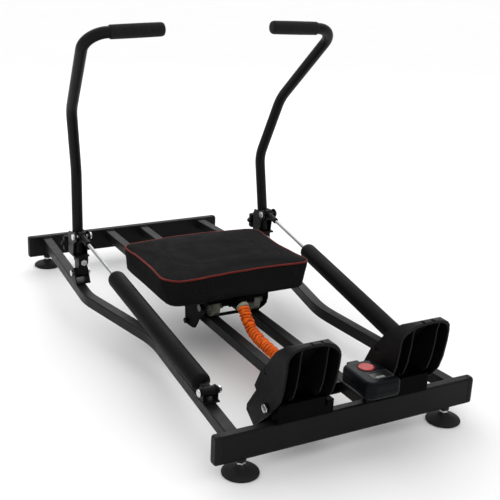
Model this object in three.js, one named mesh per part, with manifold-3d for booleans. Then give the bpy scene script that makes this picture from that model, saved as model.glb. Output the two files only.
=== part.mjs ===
// Hydraulic rowing machine: steel frame with two guide rails and two bowed side rails,
// a cushioned seat on rollers, two swinging arms with gas-style oil cylinders, two
// tilting foot plates and a small counter. Millimetres, +Z up, front of the machine -Y.
import * as THREE from 'three';
import { mergeVertices } from 'three/addons/utils/BufferGeometryUtils.js';
import Module from 'manifold-3d';

const wasm = await Module();
wasm.setup();

// ---------------------------------------------------------------- dimensions
const GAP = 0.3;                       // space between neighbouring pieces
const FRONT_HALF = 275, REAR_HALF = 269, BAR_DEPTH = 20, BAR_Z0 = 32.5, BAR_Z1 = 88.5, BAR_R = 4;
const CAP_LENGTH = 13;
const REAR_Y = 1142;                   // front face of the rear bar, front bar starts at 0
const WALL = 1.6;                      // tube wall
const RAIL = 25, RAIL_Z0 = 58.5, RAIL_Z1 = 83.5, RAIL_X = 51;
const RAIL_MID = (RAIL_Z0 + RAIL_Z1) / 2;
const SIDE_RAIL = [[229.5, 1172], [264.4, 720.1], [208.6, 444.2], [247.4, 0]];
const SIDE_RAIL_R = [186, 283];
const FOOT_X = 230, FOOT_Y = [12, 1154], FOOT_R = 35;
const SWING_Y = 806, SWING_Z = 106, SWING_X = 253.5;     // fore and aft pivot
const TILT_X = 251, TILT_Z = 137;                        // sideways pivot
const PIN_X = 254.3, PIN_Y = 788, PIN_Z = 203;           // cylinder rod bolt
const KNOB_X = 258, KNOB_Z = 166;
const TUBE_R = 12.7;
const ARM_PATH = [[256.3, 810.1, 138], [248.5, 837, 348], [273.6, 788.9, 506], [304, 607, 699], [136, 603.9, 705]];
const ARM_BEND = [95, 95, 47];
const GRIP_START = [250, 606.0, 700.93], GRIP_END = [129.5, 603.8, 705.2], GRIP_R = 15;
const CYL_X = 234.5, CYL_Y = 139, CYL_Z = 102, SLEEVE_R = 19.7, SLEEVE_END = 452;
const SEAT_Z0 = 133.4, SEAT_Z1 = 198, SEAT_Y0 = 454, SEAT_Y1 = 739, SEAT_HALF = 184;
const ROLLER_R = 23, ROLLER_W = 18, HUB = 24, AXLE_Z = RAIL_Z1 + ROLLER_R, AXLE_Y = [493, 695];
const PLATE_X = 75.5, PLATE_T = 3;
const KEEPER_Y = 567, KEEPER_Z = 46;
const PEDAL_X0 = 64, PEDAL_X1 = 176, PEDAL_Y = 23.4, PEDAL_Z = 112.5;
const CONSOLE = { x0: -9, x1: 63.4, y0: -52, y1: 42, z0: 122, z1: 158 };
const BUTTON = [27.5, 11.5], BUTTON_R = 15.5;
const CORD_R = 14;

// ---------------------------------------------------------------- materials
const mat = (color, roughness, metalness) => () => new THREE.MeshStandardMaterial({ color, roughness, metalness });
const frameBlack = mat(0x1c1c1e, 0.42, 0.55), plasticBlack = mat(0x151516, 0.55, 0.0);
const rubberBlack = mat(0x121212, 0.85, 0.0), foamBlack = mat(0x171717, 0.95, 0.0);
const chrome = mat(0xcfd2d6, 0.18, 1.0), steelGrey = mat(0x4a4c4f, 0.35, 0.9);
const seatCloth = mat(0x262626, 0.8, 0.0), rollerGrey = mat(0x5a5f58, 0.5, 0.0);
const cordOrange = mat(0xf05f23, 0.6, 0.0), consoleDark = mat(0x23282d, 0.35, 0.0);
const buttonRed = mat(0xc0282c, 0.4, 0.0), lcdGrey = mat(0x6f7a70, 0.2, 0.0);

// ---------------------------------------------------------------- solid helpers
function solid(geometry) {
  const g = geometry.clone();
  g.deleteAttribute('normal');
  g.deleteAttribute('uv');
  const m = mergeVertices(g, 1e-4);
  const make = (tri) => new wasm.Manifold(new wasm.Mesh({ numProp: 3, vertProperties: new Float32Array(m.attributes.position.array), triVerts: tri }));
  const tri = new Uint32Array(m.index.array);
  let s = make(tri);
  if (s.volume() < 0) {
    for (let i = 0; i < tri.length; i += 3) { const t = tri[i]; tri[i] = tri[i + 1]; tri[i + 1] = t; }
    s = make(tri);
  }
  return s;
}
const box = (x0, x1, y0, y1, z0, z1) => solid(new THREE.BoxGeometry(x1 - x0, y1 - y0, z1 - z0).translate((x0 + x1) / 2, (y0 + y1) / 2, (z0 + z1) / 2));
const cylX = (r, x0, x1, y, z, n = 16) => solid(new THREE.CylinderGeometry(r, r, x1 - x0, n).rotateZ(Math.PI / 2).translate((x0 + x1) / 2, y, z));
const cylY = (r, y0, y1, x, z, n = 16) => solid(new THREE.CylinderGeometry(r, r, y1 - y0, n).translate(x, (y0 + y1) / 2, z));
const cylZ = (r, z0, z1, x, y, n = 16) => solid(new THREE.CylinderGeometry(r, r, z1 - z0, n).rotateX(Math.PI / 2).translate(x, y, (z0 + z1) / 2));
const shapeOf = (pts) => new THREE.Shape(pts.map(([a, b]) => new THREE.Vector2(a, b)));
const flat = { bevelEnabled: false, curveSegments: 8 };
// (y, z) outline pushed along X
function prismX(shape, x0, x1) {
  const g = new THREE.ExtrudeGeometry(Array.isArray(shape) ? shapeOf(shape) : shape, { ...flat, depth: x1 - x0 });
  const m = new THREE.Matrix4().set(0, 0, 1, x0, 1, 0, 0, 0, 0, 1, 0, 0, 0, 0, 0, 1);
  return solid(g.applyMatrix4(m));
}
// (x, z) outline pushed along Y
function prismY(shape, y0, y1) {
  const g = new THREE.ExtrudeGeometry(Array.isArray(shape) ? shapeOf(shape) : shape, { ...flat, depth: y1 - y0 });
  return solid(g.rotateX(Math.PI / 2).translate(0, y1, 0));
}
// (x, y) outline pushed along Z
function prismZ(shape, z0, z1) {
  const g = new THREE.ExtrudeGeometry(Array.isArray(shape) ? shapeOf(shape) : shape, { ...flat, depth: z1 - z0 });
  return solid(g.translate(0, 0, z0));
}
// rounded rectangle as a list of points, n steps in each corner
function roundRect(x0, x1, y0, y1, r, n = 2) {
  const rr = Array.isArray(r) ? r : [r, r, r, r];
  const c = [[x1 - rr[0], y1 - rr[0], 0, rr[0]], [x0 + rr[1], y1 - rr[1], 90, rr[1]], [x0 + rr[2], y0 + rr[2], 180, rr[2]], [x1 - rr[3], y0 + rr[3], 270, rr[3]]];
  const out = [];
  for (const [cx, cy, a, q] of c) for (let i = 0; i <= n; i++) {
    const t = THREE.MathUtils.degToRad(a + 90 * i / n);
    out.push([cx + q * Math.cos(t), cy + q * Math.sin(t)]);
  }
  return out;
}
const lathe = (pts, n = 20) => solid(new THREE.LatheGeometry(pts.map(([r, z]) => new THREE.Vector2(r, z)), n));
const latheZ = (pts, x, y, z = 0, n = 20) => solid(new THREE.LatheGeometry(pts.map(([r, h]) => new THREE.Vector2(r, h)), n).rotateX(Math.PI / 2).translate(x, y, z));
const all = (...s) => s.reduce((a, b) => a.add(b));
const cut = (a, ...s) => s.reduce((p, b) => p.subtract(b), a);

// polyline with arcs in its corners
function filletPath(points, radii, stepDeg = 7) {
  const P = points.map((p) => new THREE.Vector3(p[0], p[1], p[2]));
  const out = [P[0].clone()];
  for (let i = 1; i < P.length - 1; i++) {
    const a = P[i - 1].clone().sub(P[i]).normalize(), b = P[i + 1].clone().sub(P[i]).normalize();
    const half = a.angleTo(b) / 2, r = radii[i - 1], t = r / Math.tan(half), turn = Math.PI - 2 * half;
    const centre = P[i].clone().add(a.clone().add(b).normalize().multiplyScalar(r / Math.sin(half)));
    const s = P[i].clone().add(a.clone().multiplyScalar(t)).sub(centre);
    const axis = new THREE.Vector3().crossVectors(a.clone().negate(), b).normalize();
    const n = Math.max(2, Math.ceil(THREE.MathUtils.radToDeg(turn) / stepDeg));
    for (let k = 0; k <= n; k++) out.push(s.clone().applyAxisAngle(axis, turn * k / n).add(centre));
  }
  out.push(P[P.length - 1].clone());
  return out;
}
// curve that stops at the given stations only
class Stations extends THREE.Curve {
  constructor(points) { super(); this.points = points; }
  at(u) { return Math.min(this.points.length - 1, Math.max(0, Math.round(u * (this.points.length - 1)))); }
  getPoint(u, target = new THREE.Vector3()) { return target.copy(this.points[this.at(u)]); }
  getPointAt(u, target) { return this.getPoint(u, target); }
  getTangent(u, target = new THREE.Vector3()) {
    const i = this.at(u), p = this.points, a = p[Math.max(0, i - 1)], c = p[i], b = p[Math.min(p.length - 1, i + 1)];
    const d1 = c.clone().sub(a), d2 = b.clone().sub(c);
    if (d1.length() > 0) d1.normalize();
    if (d2.length() > 0) d2.normalize();
    return target.copy(d1.add(d2)).normalize();
  }
  getTangentAt(u, target) { return this.getTangent(u, target); }
}
function sweep(path, outline) {
  const shape = Array.isArray(outline) ? shapeOf(outline) : outline;
  return solid(new THREE.ExtrudeGeometry(shape, { bevelEnabled: false, curveSegments: 8, steps: path.length - 1, extrudePath: new Stations(path) }));
}
const ring = (r, n) => Array.from({ length: n }, (_, i) => [r * Math.cos(2 * Math.PI * i / n), r * Math.sin(2 * Math.PI * i / n)]);

// ---------------------------------------------------------------- tree
const group = new THREE.Group();
group.name = 'hydraulic_rowing_machine';
const sub = (name, parent, at = [0, 0, 0]) => {
  const g = new THREE.Group();
  g.name = name;
  const w = parent.userData.at || [0, 0, 0];
  g.position.set(at[0] - w[0], at[1] - w[1], at[2] - w[2]);
  g.userData.at = at;
  parent.add(g);
  return g;
};
const machine = sub('machine', group);
function place(name, body, material, parent) {
  const m = body.getMesh();
  const g = new THREE.BufferGeometry();
  g.setAttribute('position', new THREE.BufferAttribute(new Float32Array(m.vertProperties), 3));
  g.setIndex(Array.from(m.triVerts));
  g.computeBoundingBox();
  const c = g.boundingBox.getCenter(new THREE.Vector3());
  g.translate(-c.x, -c.y, -c.z);
  g.computeVertexNormals();
  const mesh = new THREE.Mesh(g, material());
  mesh.name = name;
  const w = parent.userData.at;
  mesh.position.set(c.x - w[0], c.y - w[1], c.z - w[2]);
  parent.add(mesh);
  return mesh;
}
const mirror = (s) => s.mirror([1, 0, 0]);
const pair = (name, body, material, parents) => {
  place(name + '_right', body, material, parents[1]);
  place(name + '_left', mirror(body), material, parents[0]);
};

// ---------------------------------------------------------------- frame
const frame = sub('frame', machine);
for (const [name, y0, half] of [['front', 0, FRONT_HALF], ['rear', REAR_Y, REAR_HALF]]) {
  const outer = prismX(roundRect(y0, y0 + BAR_DEPTH, BAR_Z0, BAR_Z1, BAR_R), -half, half);
  const inner = prismX(roundRect(y0 + WALL, y0 + BAR_DEPTH - WALL, BAR_Z0 + WALL, BAR_Z1 - WALL, BAR_R - WALL, 2), -half - 1, half + 1);
  place(name + '_crossbar', cut(outer, inner), frameBlack, frame);
  // plastic end cap: domed block
  const dome = new THREE.ExtrudeGeometry(shapeOf(roundRect(y0 + 4.4, y0 + BAR_DEPTH - 4.4, BAR_Z0 + 4.4, BAR_Z1 - 4.4, 4, 2)), { depth: 2, bevelEnabled: true, bevelThickness: 7.7, bevelSize: 5, bevelSegments: 2, curveSegments: 6 });
  dome.applyMatrix4(new THREE.Matrix4().set(0, 0, 1, half + CAP_LENGTH - 9.7, 1, 0, 0, 0, 0, 1, 0, 0, 0, 0, 0, 1));
  const cap = solid(dome).intersect(box(half + GAP, half + 30, y0 - 20, y0 + 60, 0, 120));
  pair('end_cap_' + name, cap, plasticBlack, [frame, frame]);
}
const railBody = cut(
  prismY(roundRect(RAIL_X - RAIL / 2, RAIL_X + RAIL / 2, RAIL_Z0, RAIL_Z1, 3), BAR_DEPTH + GAP, REAR_Y - GAP),
  prismY(roundRect(RAIL_X - RAIL / 2 + WALL, RAIL_X + RAIL / 2 - WALL, RAIL_Z0 + WALL, RAIL_Z1 - WALL, 1.4, 2), BAR_DEPTH - 5, REAR_Y + 5));
pair('guide_rail', railBody, frameBlack, [frame, frame]);

const sidePath = filletPath(SIDE_RAIL.map(([x, y]) => [x, y, RAIL_MID]), SIDE_RAIL_R, 6);
const q = RAIL / 2;
const sideBody = cut(
  cut(sweep(sidePath, roundRect(-q, q, -q, q, 3, 1)), sweep(sidePath, roundRect(-q + WALL, q - WALL, -q + WALL, q - WALL, 1.4, 1))),
  box(0, 400, -60, BAR_DEPTH + GAP, 0, 200), box(0, 400, REAR_Y - GAP, REAR_Y + 60, 0, 200));
pair('side_rail', sideBody, frameBlack, [frame, frame]);

for (const [name, y] of [['front', FOOT_Y[0]], ['rear', FOOT_Y[1]]]) {
  const pad = latheZ([[0, 0], [33.5, 0], [FOOT_R, 2], [FOOT_R, 6], [18, 11], [12.5, 14], [0, 14]].reverse(), FOOT_X, y);
  const stud = all(cylZ(11, 14 + GAP, 21.5, FOOT_X, y, 6), cylZ(8.5, 21, BAR_Z0 - GAP, FOOT_X, y, 20));
  pair('foot_pad_' + name, pad, rubberBlack, [frame, frame]);
  pair('foot_stud_' + name, stud, chrome, [frame, frame]);
}

// U bracket and bolt that carry each arm
const baseBracket = cut(all(
  box(SWING_X - 18, SWING_X + 18, SWING_Y - 24, SWING_Y + 24, RAIL_Z1 + GAP, RAIL_Z1 + GAP + 3),
  ...[-18, 15].map((o) => all(
    prismX([[SWING_Y - 24, RAIL_Z1 + GAP], [SWING_Y + 24, RAIL_Z1 + GAP], [SWING_Y + 12, SWING_Z], [SWING_Y - 12, SWING_Z]], SWING_X + o, SWING_X + o + 3),
    cylX(12, SWING_X + o, SWING_X + o + 3, SWING_Y, SWING_Z, 20)))),
  cylX(4.35, SWING_X - 30, SWING_X + 30, SWING_Y, SWING_Z));
pair('arm_base_bracket', baseBracket, frameBlack, [frame, frame]);
const headedBolt = (x0, x1, y, z, r, head, t) => all(cylX(r, x0 - 0.5, x1 + 0.5, y, z), cylX(head, x0 - t, x0, y, z, 12), cylX(head, x1, x1 + t, y, z, 6));
pair('arm_pivot_bolt', headedBolt(SWING_X - 18 - GAP, SWING_X + 18 + GAP, SWING_Y, SWING_Z, 4, 8, 5), chrome, [frame, frame]);

// ---------------------------------------------------------------- foot plates
const PEDAL_EDGE = [[3, 232], [29, 198], [51, 174], [71, 135], [64, 129], [95.5, 85], [96.4, 73], [67, 54],
  [15, 103], [-6, 126], [-19, 143.5], [-28, 170], [-34, 206], [-36, 232], [-42, 256], [-33, 255.5], [-14, 246.5]];
const pedalBracket = (() => {
  const x0 = 71, x1 = 166;
  const base = all(box(50, 166, -3, 17, BAR_Z1 + GAP, BAR_Z1 + GAP + 4), box(x0, 166, -3, 21, BAR_Z1 + GAP, BAR_Z1 + GAP + 4));
  const face = all(box(PEDAL_X0 + 4.5, 166, -3, 0.5, BAR_Z1 + GAP, 126), box(50, 166, -3, 0.5, BAR_Z1 + GAP, 106), box(50, PEDAL_X0 - GAP, -3, 0.5, BAR_Z1 + GAP, 117));
  const ears = [x0, x1 - 5].map((x) => all(
    prismX([[-3, BAR_Z1 + GAP], [21, BAR_Z1 + GAP], [PEDAL_Y + 9, PEDAL_Z], [PEDAL_Y, PEDAL_Z + 9], [-3, 122]], x, x + 5),
    cylX(10, x, x + 5, PEDAL_Y, PEDAL_Z, 16)));
  const axle = all(cylX(5, PEDAL_X0 - 0.8, PEDAL_X1 + 0.8, PEDAL_Y, PEDAL_Z), cylX(9, PEDAL_X0 - 5, PEDAL_X0 - GAP, PEDAL_Y, PEDAL_Z, 12), cylX(9, PEDAL_X1 + GAP, PEDAL_X1 + 2.8, PEDAL_Y, PEDAL_Z, 12));
  return all(base, face, ...ears, axle);
})();
const pedalBody = (() => {
  const outer = prismX(PEDAL_EDGE, PEDAL_X0, PEDAL_X1);
  const frontView = [[PEDAL_X0, 40], [PEDAL_X1, 40], [PEDAL_X1, 228], [173, 240], [166, 248], [155, 252.5], [140, 255], [134, 255.5],
    [133, 253], [128, 253], [127, 255.5], [118, 255.5], [112, 255], [111, 252.5], [106, 252.5], [105, 254.5], [92, 252], [80, 246], [71, 237], [66, 229], [PEDAL_X0, 221]];
  const shell = outer.intersect(prismY(frontView, -80, 140));
  // hollow underside between the walls
  const hollow = [[-60, 250.5], [-34, 250], [-19, 241], [-5, 227], [24, 193], [46, 170], [63, 138], [53, 130], [88, 84], [90, 75], [66, 60], [60, 30], [-60, 30]];
  const pocketView = [[68, 30], [172, 30], [172, 226], [168, 237], [161, 244], [150, 248], [134, 249.5], [118, 249], [100, 246.5], [88, 242], [76, 234], [69, 225], [68, 218]];
  const pocket = prismX(hollow, 66, 174).intersect(prismY(pocketView, -80, 140));
  const rib = (x) => prismX([[-39, 250], [-32, 250], [-18, 241], [-4, 228], [24, 195], [46, 171], [63, 139], [56, 133], [30, 140], [-6, 136], [-17, 146], [-26, 171], [-32, 206], [-34, 232]], x, x + 3)
    .intersect(prismY(frontView, -80, 140));
  let body = cut(shell, pocket).add(rib(91)).add(rib(146));
  body = cut(body, cylX(5.4, 50, 190, PEDAL_Y, PEDAL_Z));
  // strap slots in both side walls, each with a window through the plate beside it
  body = cut(body, box(PEDAL_X0 - 5, PEDAL_X0 + 5, 30.5, 37.5, 172, 186), box(PEDAL_X0 + 2, PEDAL_X0 + 12, 24, 60, 170, 190),
    box(PEDAL_X1 - 5, PEDAL_X1 + 5, 30.5, 37.5, 172, 186), box(PEDAL_X1 - 12, PEDAL_X1 - 2, 24, 60, 170, 190));
  return body;
})();
const pedalGroups = [sub('foot_plate_left_group', machine, [-120, PEDAL_Y, PEDAL_Z]), sub('foot_plate_right_group', machine, [120, PEDAL_Y, PEDAL_Z])];
pair('pedal_bracket', pedalBracket, plasticBlack, [frame, frame]);
pair('pedal', pedalBody, plasticBlack, pedalGroups);

// ---------------------------------------------------------------- counter
const con = sub('counter', machine, [22, -5, 142]);
{
  const c = CONSOLE;
  const plan = roundRect(c.x0 + 5, c.x1 - 5, c.y0 + 5, c.y1 - 5, [22, 8, 14, 5], 3);
  const bodyGeo = new THREE.ExtrudeGeometry(shapeOf(plan), { depth: c.z1 - c.z0 - 10, bevelEnabled: true, bevelThickness: 5, bevelSize: 5, bevelSegments: 2, curveSegments: 4 });
  let housing = solid(bodyGeo.translate(0, 0, c.z0 + 5));
  housing = all(housing, box(27, 45, 3, 17.5, BAR_Z1 + GAP, c.z0 + 6), box(10, 35, 36, 52, 138, 154));
  housing = cut(housing, cylZ(BUTTON_R + GAP, c.z1 - 7, c.z1 + 5, ...BUTTON, 20), box(13.7, 55.3, -36.3, -10.7, c.z1 - 3, c.z1 + 5));
  place('console_housing', housing, consoleDark, con);
  place('console_button', latheZ([[0, 0], [BUTTON_R, 0], [BUTTON_R, 4.5], [13.4, 6], [0, 6.6]].reverse(), ...BUTTON, c.z1 - 4.6), buttonRed, con);
  place('console_display', box(14, 55, -36, -11, c.z1 - 2.7, c.z1 - 0.4), lcdGrey, con);
}

// ---------------------------------------------------------------- seat and carriage
const seat = sub('seat', machine, [0, (AXLE_Y[0] + AXLE_Y[1]) / 2, AXLE_Z]);
{
  const b = 9;
  const cushion = new THREE.ExtrudeGeometry(shapeOf(roundRect(-SEAT_HALF + b, SEAT_HALF - b, SEAT_Y0 + b, SEAT_Y1 - b, 30, 4)),
    { depth: SEAT_Z1 - SEAT_Z0 - 2 * b, bevelEnabled: true, bevelThickness: b, bevelSize: b, bevelSegments: 2, curveSegments: 6 });
  place('seat_cushion', solid(cushion.translate(0, 0, SEAT_Z0 + b)), seatCloth, seat);
  const top = SEAT_Z0 - GAP;
  const frontPlate = [[472, top], [472, 104], [482, 92], [507, 71], [516, 56], [525, 44], [536, 40], [565, 37], [577, 44], [580, 81], [602, top]];
  const rearPlate = [[664, top], [668, 104], [680, 95], [710, 95], [722, 104], [724, top]];
  let carriage = box(-PLATE_X - PLATE_T, PLATE_X + PLATE_T, 468, 726, top - 3, top);
  for (const o of [-PLATE_X - PLATE_T, PLATE_X]) for (const p of [frontPlate, rearPlate]) carriage = carriage.add(prismX(p, o, o + PLATE_T));
  carriage = carriage.add(box(-22, 22, 468, 471, 108, top));
  const lip = all(box(16, PLATE_X + 1, 465.2, 468.2, 113, top), box(16, PLATE_X + PLATE_T, 465.2, 470, top - 3, top));
  carriage = all(carriage, lip, mirror(lip));
  for (const y of AXLE_Y) carriage = cut(carriage, cylX(5.35, -90, 90, y, AXLE_Z));
  carriage = cut(carriage, cylX(4.3, -90, 90, KEEPER_Y, KEEPER_Z));
  place('seat_carriage', carriage, frameBlack, seat);
  for (const [name, y] of [['front', AXLE_Y[0]], ['rear', AXLE_Y[1]]]) {
    const e = PLATE_X + PLATE_T + GAP;
    place('roller_axle_' + name, all(cylX(5, -e - 0.5, e + 0.5, y, AXLE_Z), cylX(9, -e - 6, -e, y, AXLE_Z, 6), cylX(9, e, e + 6, y, AXLE_Z, 6)), chrome, seat);
    const w = ROLLER_W / 2;
    const prof = [[5.4, -HUB], [9, -HUB], [9, -w], [ROLLER_R - 1.5, -w], [ROLLER_R, -w + 1.5], [ROLLER_R, w - 1.5], [ROLLER_R - 1.5, w], [9, w], [9, HUB], [5.4, HUB], [5.4, -HUB]];
    const g = new THREE.LatheGeometry(prof.map(([r, h]) => new THREE.Vector2(r, h)), 20).rotateZ(-Math.PI / 2).translate(RAIL_X, y, AXLE_Z);
    const roller = solid(g);
    pair('roller_' + name, roller, rollerGrey, [seat, seat]);
  }
  const k = PLATE_X + PLATE_T + GAP;
  place('keeper_rod', all(cylX(4, -k - 0.5, k + 0.5, KEEPER_Y, KEEPER_Z, 12), cylX(6.5, -k - 6, -k, KEEPER_Y, KEEPER_Z, 12), cylX(6.5, k, k + 6, KEEPER_Y, KEEPER_Z, 12)), plasticBlack, seat);
}

// ---------------------------------------------------------------- elastic cord
{
  const anchor = cut(box(-RAIL_X + RAIL / 2 + GAP, RAIL_X - RAIL / 2 - GAP, 101, 126, RAIL_Z0 + 0.5, RAIL_Z1 - 0.5), box(-34, 34, 98, 123, RAIL_Z0 + 3.5, RAIL_Z1 - 3.5));
  place('elastic_anchor_front', anchor, frameBlack, frame);
  const line = new THREE.CatmullRomCurve3([[467.5, 119], [455, 118], [441, 112], [423, 94.6], [409, 85], [392, 75], [360, 67.5], [330, 66], [292, 64.5], [230, 64], [180, 66], [145, 70], [126.4, 71]]
    .map(([y, z]) => new THREE.Vector3(0, y, z)), false, 'centripetal');
  const path = line.getSpacedPoints(26);
  place('elastic_cord', sweep(path, ring(CORD_R, 10)).intersect(box(-40, 40, 126.4, 467.6, 0, 200)), cordOrange, machine);
}

// ---------------------------------------------------------------- arms
const arms = [-1, 1].map((s) => {
  const n = s < 0 ? 'left' : 'right';
  const swing = sub('swing_' + n, machine, [s * SWING_X, SWING_Y, SWING_Z]);
  const tilt = sub('arm_' + n, swing, [s * TILT_X, SWING_Y, TILT_Z]);
  return { swing, tilt };
});
const swings = arms.map((a) => a.swing), tilts = arms.map((a) => a.tilt);
const Y0 = 791, Y1 = 820.7;
const block = cut(all(
  cylX(12, SWING_X - 14.6, SWING_X + 14.6, SWING_Y, SWING_Z, 20),
  box(TILT_X - 11, TILT_X + 11, Y0 + 1, Y1 - 1, SWING_Z, TILT_Z),
  cylY(12, Y0, Y1, TILT_X, TILT_Z, 20)),
  cylX(4.35, SWING_X - 30, SWING_X + 30, SWING_Y, SWING_Z), cylY(4.35, 760, 860, TILT_X, TILT_Z));
pair('swing_block', block, frameBlack, swings);
const tiltBolt = all(cylY(4, 786.4, 824.8, TILT_X, TILT_Z), cylY(8, 781.4, 787, TILT_X, TILT_Z, 6), cylY(8, 824.2, 829.2, TILT_X, TILT_Z, 6));
pair('arm_tilt_bolt', tiltBolt, chrome, swings);

// clamp at the foot of the arm: two ears below, two cheeks beside the tube
const TX = 254.3, CHEEK = 15;
const clamp = cut(all(
  box(TX - CHEEK - 3, TX + CHEEK + 3, 787.4, 834.5, 150, 154),
  ...[[787.4, 790.6], [821.1, 824.1]].map(([a, b]) => all(cylY(12, a, b, TILT_X, TILT_Z, 20), box(TILT_X - 12, TILT_X + 12, a, b, TILT_Z, 152))),
  box(TX - CHEEK - 3, TX + CHEEK + 3, 831.5, 834.5, 150, 196),
  ...[-CHEEK - 3, CHEEK].map((o) => all(
    prismX([[801, 150], [834.5, 150], [834.5, 196], [830, 206], [801, 209], [PIN_Y, PIN_Z + 11.5], [PIN_Y - 8, PIN_Z - 8], [796, 184]], TX + o, TX + o + 3),
    cylX(12, TX + o, TX + o + 3, PIN_Y, PIN_Z, 20)))),
  cylX(4.35, TX - 40, TX + 40, PIN_Y, PIN_Z), cylY(4.35, 780, 830, TILT_X, TILT_Z), cylY(4.35, 828, 840, KNOB_X, KNOB_Z));
pair('rod_clamp', clamp, frameBlack, tilts);
pair('rod_pin', headedBolt(TX - CHEEK - 3 - GAP, TX + CHEEK + 3 + GAP, PIN_Y, PIN_Z, 4, 8, 5), chrome, tilts);

const armPath = filletPath(ARM_PATH, ARM_BEND, 11);
const tube = sweep(armPath, ring(TUBE_R, 14)).subtract(sweep(armPath, ring(TUBE_R - WALL, 8))).trimByPlane([0, 0, 1], 154 + GAP);
pair('arm_tube', tube, frameBlack, tilts);
{
  const a = new THREE.Vector3(...GRIP_START), b = new THREE.Vector3(...GRIP_END), d = b.clone().sub(a), L = d.length();
  const prof = [[13.05, 0], [14.2, 0], [GRIP_R, 1.5], [GRIP_R, L - 8], [13.6, L - 3], [9, L - 0.4], [0, L], [0, L - 4.5], [13.05, L - 4.5], [13.05, 0]];
  const g = new THREE.LatheGeometry(prof.map(([r, h]) => new THREE.Vector2(r, h)), 16);
  g.applyQuaternion(new THREE.Quaternion().setFromUnitVectors(new THREE.Vector3(0, 1, 0), d.normalize())).translate(a.x, a.y, a.z);
  pair('grip', solid(g), foamBlack, tilts);
}
// star knob behind the arm, its stud reaches the tube
const knobGroups = [sub('knob_left', tilts[0], [-KNOB_X, 858, KNOB_Z]), sub('knob_right', tilts[1], [KNOB_X, 858, KNOB_Z])];
{
  const lobes = [];
  for (let i = 0; i < 32; i++) {
    const t = 2 * Math.PI * i / 32, r = 22.6 + 2.4 * Math.cos(8 * t);
    lobes.push([KNOB_X + r * Math.cos(t), KNOB_Z + r * Math.sin(t)]);
  }
  const knob = all(prismY(lobes, 850, 866), cylY(10, 837, 851, KNOB_X, KNOB_Z, 16), cylY(4, 828.6, 838, KNOB_X, KNOB_Z, 16), cylY(7, 865, 868, KNOB_X, KNOB_Z, 16));
  pair('clamp_knob', knob, plasticBlack, knobGroups);
}

// ---------------------------------------------------------------- cylinders
const ROD = new THREE.Vector3(PIN_X - CYL_X, PIN_Y - CYL_Y, PIN_Z - CYL_Z), ROD_L = ROD.length();
const YAW = Math.atan2(ROD.x, ROD.y), PITCH = Math.asin(ROD.z / ROD_L);
const along = new THREE.Matrix4().makeTranslation(CYL_X, CYL_Y, CYL_Z)
  .multiply(new THREE.Matrix4().makeRotationZ(-YAW)).multiply(new THREE.Matrix4().makeRotationX(PITCH));
const lay = (s) => s.transform(along.toArray());
const cylGroups = [-1, 1].map((s) => {
  const n = s < 0 ? 'left' : 'right';
  const base = sub('cylinder_base_' + n + '_group', machine, [s * CYL_X, CYL_Y, RAIL_Z1]);
  const body = sub('cylinder_' + n, base, [s * CYL_X, CYL_Y, CYL_Z]);
  const rod = sub('rod_' + n, body, [s * PIN_X, PIN_Y, PIN_Z]);
  return { base, body, rod };
});
const base = all(
  box(CYL_X - 17, CYL_X + 17, CYL_Y - 16, CYL_Y + 16, RAIL_Z1 + GAP, RAIL_Z1 + GAP + 3),
  ...[-16, 13].map((o) => all(box(CYL_X + o, CYL_X + o + 3, CYL_Y - 11, CYL_Y + 11, RAIL_Z1 + GAP, CYL_Z), cylX(11, CYL_X + o, CYL_X + o + 3, CYL_Y, CYL_Z, 16))),
  cylX(4, CYL_X - 20, CYL_X + 20, CYL_Y, CYL_Z), cylX(7.5, CYL_X - 21, CYL_X - 16, CYL_Y, CYL_Z, 18), cylX(7.5, CYL_X + 16, CYL_X + 21, CYL_Y, CYL_Z, 6));
pair('cylinder_base', base, frameBlack, cylGroups.map((g) => g.base));
const sleeve = lay(cut(all(
  lathe([[0, 20], [9.5, 20], [18.5, 27], [SLEEVE_R, 32], [SLEEVE_R, SLEEVE_END - 12], [17.6, SLEEVE_END - 4.5], [12, SLEEVE_END], [4.5, SLEEVE_END], [4.5, SLEEVE_END - 18], [15, SLEEVE_END - 18], [15, 46], [0, 46]], 20),
  cylX(10, -12.4, 12.4, 0, 0, 16), box(-10, 10, 0, 21, -8, 8)),
  cylX(4.9, -30, 30, 0, 0)));
pair('cylinder_body', sleeve, plasticBlack, cylGroups.map((g) => g.body));
// upright eye with a long slot, so that the bolt can ride a little as the arm swings
const upright = (r, z0, z1, n) => [...Array(2 * n + 2)].map((_, i) => {
  const t = Math.PI * (i <= n ? i : i - 1) / n;
  return [r * Math.cos(t), r * Math.sin(t) + (i <= n ? z1 : z0)];
});
const rod = lay(cut(all(
  lathe([[0, 196], [14, 196], [14, 208], [4, 208], [4, ROD_L - 11], [0, ROD_L - 11]], 14),
  prismX(upright(9.4, -7.2, 1.9, 8), -9, 9).translate([0, ROD_L, 0]), cylY(7, ROD_L - 34, ROD_L - 6, 0, 0, 14)),
  prismX(upright(5.8, -7.2, 1.9, 8), -30, 30).translate([0, ROD_L, 0])));
pair('piston_rod', rod, chrome, cylGroups.map((g) => g.rod));

// centre of the whole object on Z
group.updateMatrixWorld(true);
const bounds = new THREE.Box3().setFromObject(group);
machine.position.y = -(bounds.min.y + bounds.max.y) / 2;
machine.position.x = -(bounds.min.x + bounds.max.x) / 2;
group.updateMatrixWorld(true);

export default group;
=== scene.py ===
"""Looks of the hydraulic rowing machine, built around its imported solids."""

import math

import bmesh
import bpy
import numpy as np
from mathutils import Matrix, Vector, noise
from mathutils.bvhtree import BVHTree


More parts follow.
